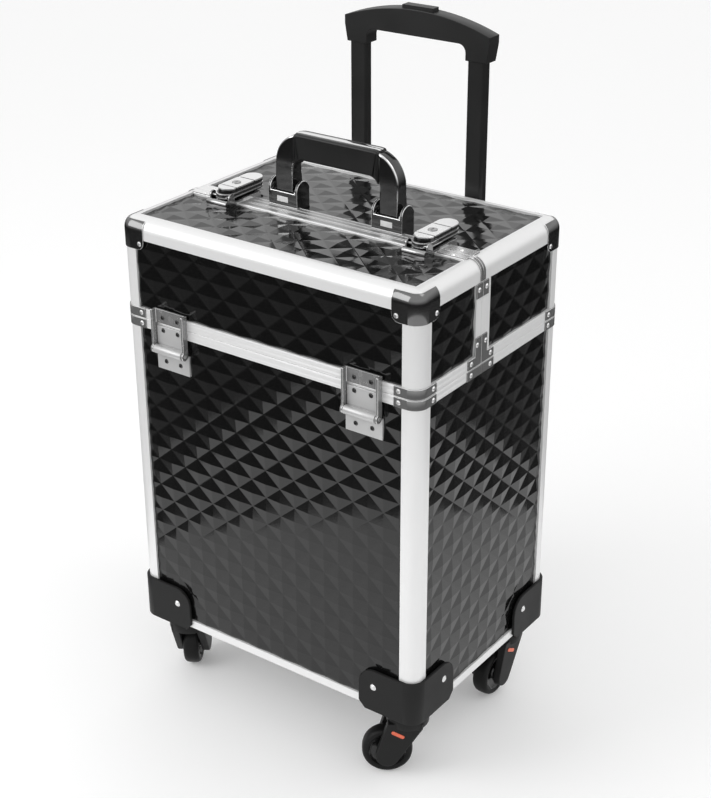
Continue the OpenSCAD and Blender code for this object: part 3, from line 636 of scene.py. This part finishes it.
# Half of a wheel's section, (radius, out from the middle), from the hub's middle to the rolling face
WHEEL_SECTION = (
    (3.1, 7.4), (6.6, 7.4), (7.6, 6.8), (8.2, 5.4), (9.4, 4.8), (15.6, 4.8), (17.2, 5.6), (18.4, 7.4),
    (19.6, 8.2), (21.4, 8.4), (23.2, 7.7), (24.4, 6.0), (24.9, 3.6), (25.0, 1.2))
HUB_R = 18*MM

# The red insert on each cheek of a fork: its middle, its half sizes, its corners' radius and its tilt
INSERT_AHEAD = 10*MM
INSERT_Z = 52*MM
INSERT_OUT = 17.5*MM
INSERT_LONG = 7*MM
INSERT_SHORT = 1.9*MM
INSERT_R = 1.8*MM
INSERT_TILT = math.radians(29)
INSERT_STEPS = ((-0.5*MM, 0), (0.35*MM, 0), (0.6*MM, 0.35*MM))   # (out from the cheek, drawn in by)

joints = {j["name"]: j for j in frame["record"]["behaviour"]["joints"]}


def wheel(corner, centre, axle):
    """The tread and hub of one wheel, turned about its axle."""
    section = [(r*MM, -a*MM) for r, a in WHEEL_SECTION]
    section += [(r*MM, a*MM) for r, a in reversed(WHEEL_SECTION)]
    bm = bmesh.new()
    lathe(bm, section, centre, axle, steps=64)
    for f in bm.faces:
        off = f.calc_center_median() - centre
        f.material_index = 1 if (off - axle*off.dot(axle)).length < HUB_R else 0
    piece("wheel_%s_tread" % corner, bm, [TYRE, HUB], "wheel_" + corner, ["caster_wheel_" + corner],
          35)


def fork_inserts(corner, centre, axle):
    """A red insert on each cheek, under the crown of the fork."""
    swivel = Vector(joints["caster_%s_swivel" % corner]["pos_m"])
    ahead = centre - swivel
    ahead.z = 0
    ahead.normalize()
    rise = Vector((0, 0, 1))
    long_way = ahead*math.cos(INSERT_TILT) + rise*math.sin(INSERT_TILT)
    short_way = rise*math.cos(INSERT_TILT) - ahead*math.sin(INSERT_TILT)
    bm = bmesh.new()
    for side in (-1, 1):
        middle = swivel + ahead*INSERT_AHEAD + axle*side*INSERT_OUT
        middle.z = INSERT_Z
        rings = []
        for out, inset in INSERT_STEPS:
            outline = rounded_rect(INSERT_LONG - inset, INSERT_SHORT - inset, INSERT_R - inset)
            rings.append([middle + long_way*a + short_way*b + axle*side*out for a, b in outline])
        loft(bm, rings)
    piece("caster_%s_inserts" % corner, bm, [ACCENT], "caster_" + corner, smooth=30)


def caster(corner):
    roll = joints["wheel_%s_roll" % corner]
    centre = Vector(roll["pos_m"])
    axle = Vector(roll["axis"]).normalized()
    wheel(corner, centre, axle)
    fork_inserts(corner, centre, axle)


# ---- Felt in the trays ----

TRAY_WALL = 1.6*MM
UPPER_PINS = 11*MM   # how far the pins stand out past an upper tray's ends
LOWER_PINS = 9*MM
FELT_GAP = 0.2*MM
FELT_THICK = 0.8*MM


def tray_felt(node, body, pins, cells):
    """A sheet of felt on the floor of each of a tray's cells."""
    lo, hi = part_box(node)
    half = (hi.x - lo.x)/2 - pins
    cell = (2*half - TRAY_WALL)/cells
    floor = lo.z + TRAY_WALL
    bm = bmesh.new()
    for i in range(cells):
        x = -half + TRAY_WALL + i*cell
        low = Vector((x + FELT_GAP, lo.y + TRAY_WALL + FELT_GAP, floor - FELT_GAP))
        high = Vector((x + cell - TRAY_WALL - FELT_GAP, hi.y - TRAY_WALL - FELT_GAP, floor + FELT_THICK))
        solid_box(bm, low, high)
    piece(node + "_felt", bm, [FELT], body)


def trays():
    tray_felt("front_upper_tray", "front_upper_tray", UPPER_PINS, 4)
    tray_felt("front_lower_tray", "front_lower_tray", LOWER_PINS, 5)
    tray_felt("rear_upper_tray", "case", UPPER_PINS, 4)
    tray_felt("rear_lower_tray", "case", LOWER_PINS, 5)


# ---- Camera, light and floor ----

CAMERA_AZIMUTH = math.radians(36.052)
CAMERA_ELEVATION = math.radians(26.270)
CAMERA_ROLL = math.radians(-0.277)
CAMERA_PLACE = Vector((0.85767, MID_Y - 1.15684, 1.04181))
CAMERA_LENS = 82.26


def camera():
    """The view of the case from the front right and above."""
    data = bpy.data.cameras.new("camera")
    data.sensor_width = 36.0
    data.sensor_fit = "HORIZONTAL"
    data.lens = CAMERA_LENS
    data.clip_start = 0.05
    data.clip_end = 50
    cam = bpy.data.objects.new("camera", data)
    scene.collection.objects.link(cam)
    a, e = CAMERA_AZIMUTH, CAMERA_ELEVATION
    forward = Vector((-math.sin(a)*math.cos(e), math.cos(a)*math.cos(e), -math.sin(e)))
    right = forward.cross(Vector((0, 0, 1))).normalized()
    up = right.cross(forward)
    c, s = math.cos(CAMERA_ROLL), math.sin(CAMERA_ROLL)
    right, up = right*c + up*s, up*c - right*s
    turn = Matrix((right, up, -forward)).transposed().to_4x4()
    cam.matrix_world = Matrix.Translation(CAMERA_PLACE) @ turn
    scene.camera = cam


LIGHT_AIM = Vector((0, MID_Y, 0.35))


def area_light(name, place, size, power):
    data = bpy.data.lights.new(name, "AREA")
    data.energy = power
    data.size = size
    obj = bpy.data.objects.new(name, data)
    scene.collection.objects.link(obj)
    obj.location = place
    obj.rotation_mode = "QUATERNION"
    obj.rotation_quaternion = (LIGHT_AIM - obj.location).to_track_quat("-Z", "Y")
    obj.visible_camera = False


# The floor is a disc close to the case, a little to the front right of it, which shows in the glossy sheets,
# and a ring round it, which doesn't
FLOOR_X = 0.27
FLOOR_Y = -0.23
FLOOR_R = 0.71
FLOOR_END = 12
FLOOR_GLOW = 0.12


def floor_material():
    mat = worn("pale_floor", grey(0.90), grey(0.92), (0.7, 0.8), grain=(400, 0.010), smudge=3)
    bsdf = mat.node_tree.nodes["Principled BSDF"]
    bsdf.inputs["Emission Color"].default_value = (1, 1, 1, 1)
    bsdf.inputs["Emission Strength"].default_value = FLOOR_GLOW
    return mat


def floor_ring(name, r_in, r_out, mat, steps=96):
    """A flat ring of floor, or a whole disc where r_in is zero."""
    bm = bmesh.new()
    rings = []
    for r in (r_in, r_out):
        turns = [2*math.pi*i/steps for i in range(steps)]
        rings.append([Vector((FLOOR_X + r*math.cos(t), FLOOR_Y + r*math.sin(t), 0)) for t in turns])
    if r_in:
        loft(bm, rings, cap=False)
    else:
        bm.faces.new([bm.verts.new(p) for p in rings[1]])
    mesh = bpy.data.meshes.new(name)
    bm.to_mesh(mesh)
    bm.free()
    obj = bpy.data.objects.new(name, mesh)
    scene.collection.objects.link(obj)
    mesh.materials.append(mat)
    return obj


# The world's brightness. Glossy rays see a sky that brightens from just below the horizon upward, and a room
# that is paler far below it. The diffuse light is brightest at the horizon. The camera sees one even tone
SKY_FROM, SKY_TO = -0.20, 0.30
SKY = 1.1
ROOM_FROM, ROOM_TO = -0.60, -0.33
ROOM_LOW = 0.26
ROOM_HIGH = 0.02
LIGHT_HORIZON = 1.60
LIGHT_ZENITH = 0.50
BACKDROP = 0.93


def colour_mix(tree, first, second, factor, blend="MIX"):
    """Mixes two colours; `factor` is a number or the output that gives it."""
    node = tree.nodes.new("ShaderNodeMix")
    node.data_type = "RGBA"
    node.blend_type = blend
    tree.links.new(first, node.inputs["A"])
    tree.links.new(second, node.inputs["B"])
    if isinstance(factor, float):
        node.inputs["Factor"].default_value = factor
    else:
        tree.links.new(factor, node.inputs["Factor"])
    return node


def surroundings():
    world = bpy.data.worlds.new("studio")
    scene.world = world
    world.use_nodes = True
    tree = world.node_tree
    background = tree.nodes["Background"]
    path = tree.nodes.new("ShaderNodeLightPath")
    coord = tree.nodes.new("ShaderNodeTexCoord")
    split = tree.nodes.new("ShaderNodeSeparateXYZ")
    tree.links.new(coord.outputs["Generated"], split.inputs["Vector"])
    up = split.outputs["Z"]
    sky = two_tone(tree, ramp(tree, up, SKY_FROM, SKY_TO, 0.0, 1.0), grey(0.0), grey(SKY))
    room = two_tone(tree, ramp(tree, up, ROOM_FROM, ROOM_TO, 1.0, 0.0), grey(ROOM_HIGH), grey(ROOM_LOW))
    glossy = colour_mix(tree, sky, room, 1.0, "ADD").outputs["Result"]
    light = two_tone(tree, ramp(tree, up, 0.0, 1.0, 0.0, 1.0), grey(LIGHT_HORIZON), grey(LIGHT_ZENITH))
    lit = colour_mix(tree, light, glossy, path.outputs["Is Glossy Ray"]).outputs["Result"]
    seen = tree.nodes.new("ShaderNodeMix")
    seen.data_type = "RGBA"
    seen.inputs["B"].default_value = (*grey(BACKDROP), 1)
    tree.links.new(lit, seen.inputs["A"])
    tree.links.new(path.outputs["Is Camera Ray"], seen.inputs["Factor"])
    tree.links.new(seen.outputs["Result"], background.inputs["Color"])
    background.inputs["Strength"].default_value = 1.0


def studio():
    pale = floor_material()
    floor_ring("floor_middle", 0, FLOOR_R, pale)
    floor_ring("floor_outer", FLOOR_R, FLOOR_END, pale).visible_glossy = False
    surroundings()
    area_light("key", (-0.9, MID_Y - 1.2, 1.1), size=1.0, power=9)
    area_light("rim", (0.9, MID_Y + 0.3, 1.8), size=0.8, power=3)


panels()
metal_finishes()
plastic_and_lining_finishes()
locks()
handle_trim()
bracket_plates()
for corner in CORNERS:
    caster(corner)
trays()
camera()
studio()
